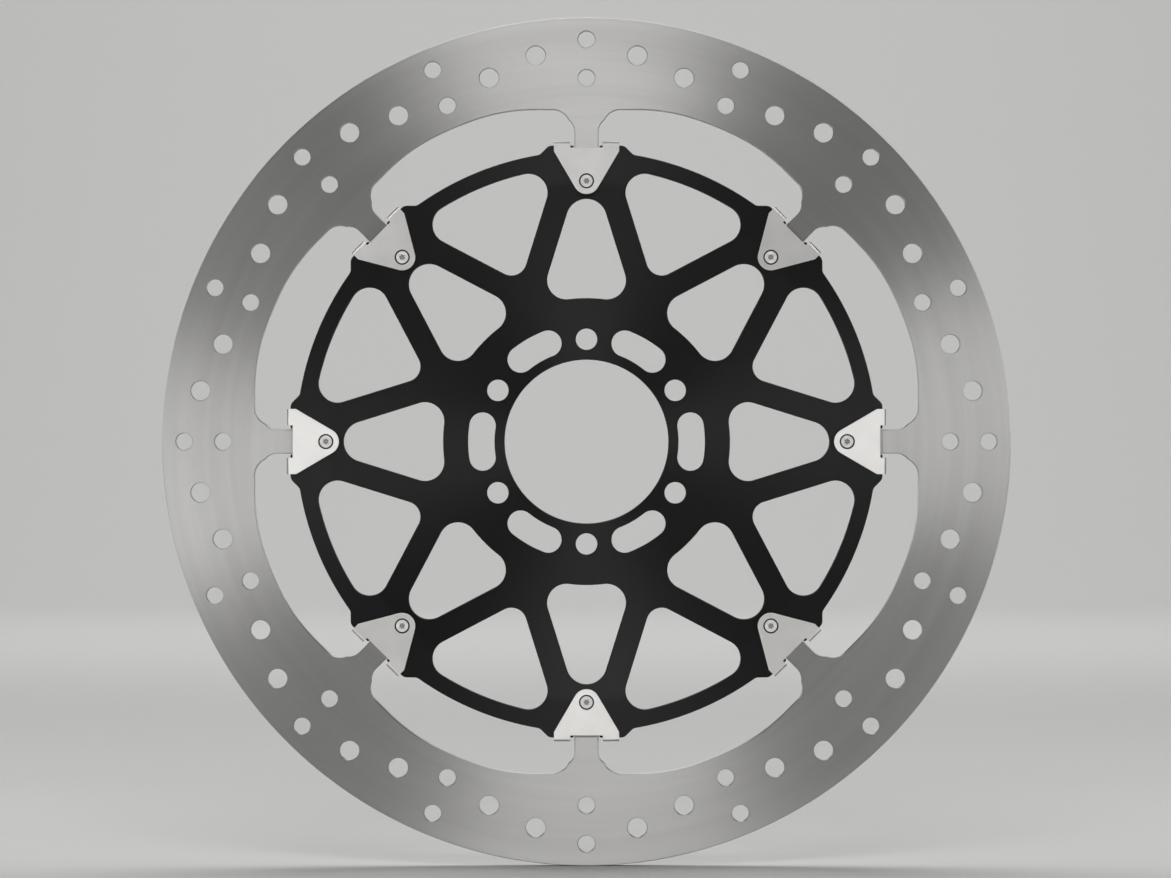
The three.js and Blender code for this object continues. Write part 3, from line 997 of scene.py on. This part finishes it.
def screw_steel():
    """Bright steel, with painted shade in the socket and down the side of the head."""
    s = Shader("screw_steel")
    position = s.position()
    cloud = s.noise(position, 900)
    height = s.math("MULTIPLY", s.part(position, "Y"), -1 / MM)
    depth = s.math("SUBTRACT", SCREW_TOP, height)
    # painted shade: the base colour darkens from just below the head's face to about 0.8 mm down,
    # over the socket and the side of the head
    shade = s.ramp(depth, [(0.04, 1), (0.12, 0.4), (0.8, 0.4), (1, 1)])
    bright = s.varied(cloud, (0.86, 0.845, 0.825), (0.94, 0.925, 0.905))
    return s.finish(
        {
            "Base Color": s.tinted(bright, shade),
            "Metallic": 0.6,
            "Roughness": s.spread(cloud, 0.42, 0.48),
            "Normal": s.bump(s.noise(position, 5000), 0.000002),
            **s.turned_finish(0.8),
        }
    )


def nut_steel():
    """Satin zinc plating with a faint mottle."""
    s = Shader("nut_steel")
    position = s.position()
    cloud = s.noise(position, 700)
    return s.finish(
        {
            "Base Color": s.varied(cloud, (0.5, 0.5, 0.48), (0.6, 0.6, 0.58)),
            "Metallic": 1,
            "Roughness": s.spread(cloud, 0.3, 0.42),
            "Normal": s.bump(s.noise(position, 3000, 3), 0.000003),
        }
    )


# ---- Assembly ----


def put(obj, body, node, slot_name):
    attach(obj, body)
    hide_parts(node)


def station_copies(first):
    """The piece at the top station and its copies at the others, numbered clockwise."""
    stem = first.name.removesuffix("1")
    pieces = [first]
    for i in range(1, STATIONS):
        obj = bpy.data.objects.new(f"{stem}{i + 1}", first.data)
        bpy.context.scene.collection.objects.link(obj)
        obj.rotation_euler.y = math.radians(i * STATION_DEG)
        pieces.append(obj)
    return pieces


put(brake_ring(brake_steel()), "ring", "brake_ring", "brake_steel")
put(carrier(black_anodised()), "carrier_assembly", "carrier", "black_anodised")
fasteners = (
    (retaining_clip(spring_steel()), "retaining_clip", "spring_steel"),
    (clip_screw(screw_steel()), "clip_screw", "screw_steel"),
    (lock_nut(nut_steel()), "lock_nut", "nut_steel"),
)
for first, node, slot_name in fasteners:
    for i, obj in enumerate(station_copies(first)):
        put(obj, "carrier_assembly", f"{node}_{i + 1}", slot_name)


# ---- Stage ----
# From here on, places and sizes are in the frame, in metres
FLOOR_GAP = 0.0001
FLOOR_Z = RING_LOW.y * MM - FLOOR_GAP
STAGE_WIDTH = 20
STAGE_FRONT = -12
BACKDROP_Y = 4.8
BACKDROP_TOP = 5
COVE_R = 1.8
COVE_STEPS = 24


def stage():
    """A plain pale floor that sweeps up into a backdrop."""
    cove_y = BACKDROP_Y - COVE_R
    turns = [math.pi / 2 * i / COVE_STEPS for i in range(COVE_STEPS + 1)]
    cove = [(cove_y + COVE_R * math.sin(t), COVE_R * (1 - math.cos(t))) for t in turns]
    profile = [(STAGE_FRONT, 0), *cove, (BACKDROP_Y, BACKDROP_TOP)]
    verts = [(side * STAGE_WIDTH / 2, y, FLOOR_Z + z) for side in (-1, 1) for y, z in profile]
    count = len(profile)
    faces = [(count + i, count + i + 1, i + 1, i) for i in range(count - 1)]
    mesh = bpy.data.meshes.new("pale_floor")
    mesh.from_pydata(verts, [], faces)
    mesh.shade_smooth()
    surface = {"Base Color": (0.5, 0.5, 0.49, 1), "Roughness": 0.9}
    mesh.materials.append(Shader("pale_floor").finish(surface))
    floor = bpy.data.objects.new("pale_floor", mesh)
    bpy.context.scene.collection.objects.link(floor)
    floor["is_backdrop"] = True


DISC = (0, 0, 0)
LIGHTS = (  # name, place, target, width and height, watts
    ("top_light", (-0.1, -3.4, 2.4), DISC, (1.8, 1.2), 47),
    ("left_light", (-0.5, -0.67, -0.07), DISC, (0.18, 0.36), 1.05),
    ("right_light", (0.6, -0.82, 0.06), DISC, (0.22, 0.38), 1.25),
    ("left_fill", (-0.8, -1.0, 0.3), DISC, (0.3, 0.8), 0.8),
    ("left_low_fill", (-0.3, -0.62, -0.1), DISC, (0.12, 0.07), 0.06),
    ("bottom_fill", (0, -0.62, -0.1), DISC, (0.1, 0.07), 0.05),
    ("top_rim_light", (0, 0.32, 1.0), DISC, (1.2, 0.7), 7),
    ("left_rim_light", (-1.1, 0.34, 0.35), DISC, (0.7, 0.8), 5),
    ("right_rim_light", (1.1, 0.34, 0.35), DISC, (0.7, 0.8), 5),
    ("floor_light", (0, 0.7, 2.0), (0, 0.7, 0), (2.4, 1.4), 10),
    ("backdrop_light", (0, 1.6, 2.2), (0, 4.8, 0.7), (2.6, 0.6), 95),
)
WORLD_COLOR = (0.9, 0.95, 1.0, 1)
WORLD_STRENGTH = 0.08


def soft_light(name, place, target, size, watts):
    """A rectangular soft light at a place, turned to face a target."""
    data = bpy.data.lights.new(name, "AREA")
    data.shape = "RECTANGLE"
    data.size, data.size_y = size
    data.energy = watts
    light = bpy.data.objects.new(name, data)
    light.location = place
    light.rotation_euler = (Vector(target) - Vector(place)).to_track_quat("-Z", "Y").to_euler()
    light.visible_camera = False
    bpy.context.scene.collection.objects.link(light)


def studio():
    for light in LIGHTS:
        soft_light(*light)
    studio_world = bpy.data.worlds.new("studio")
    studio_world.use_nodes = True
    background = studio_world.node_tree.nodes["Background"]
    background.inputs["Color"].default_value = WORLD_COLOR
    background.inputs["Strength"].default_value = WORLD_STRENGTH
    bpy.context.scene.world = studio_world


CAMERA_DISTANCE = 2.0
CAMERA_REACH = 50
VIEW_WIDTH = 0.4554  # seen at the front of the ring
IMAGE_OFFSET = (-0.0004, 0.001)  # from the spin axis to the middle of the picture


def camera():
    data = bpy.data.cameras.new("camera")
    data.lens = data.sensor_width * CAMERA_DISTANCE / VIEW_WIDTH
    data.clip_end = CAMERA_REACH
    obj = bpy.data.objects.new("camera", data)
    obj.location = (IMAGE_OFFSET[0], -RING_FRONT * MM - CAMERA_DISTANCE, IMAGE_OFFSET[1])
    obj.rotation_euler = (math.pi / 2, 0, 0)
    bpy.context.scene.collection.objects.link(obj)
    bpy.context.scene.camera = obj


stage()
studio()
camera()
bpy.context.scene.view_settings.view_transform = "Standard"


def corners(bounds):
    return [list(corner) for corner in bounds]


{"cad": corners(cad_bounds), "visual": corners(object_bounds())}
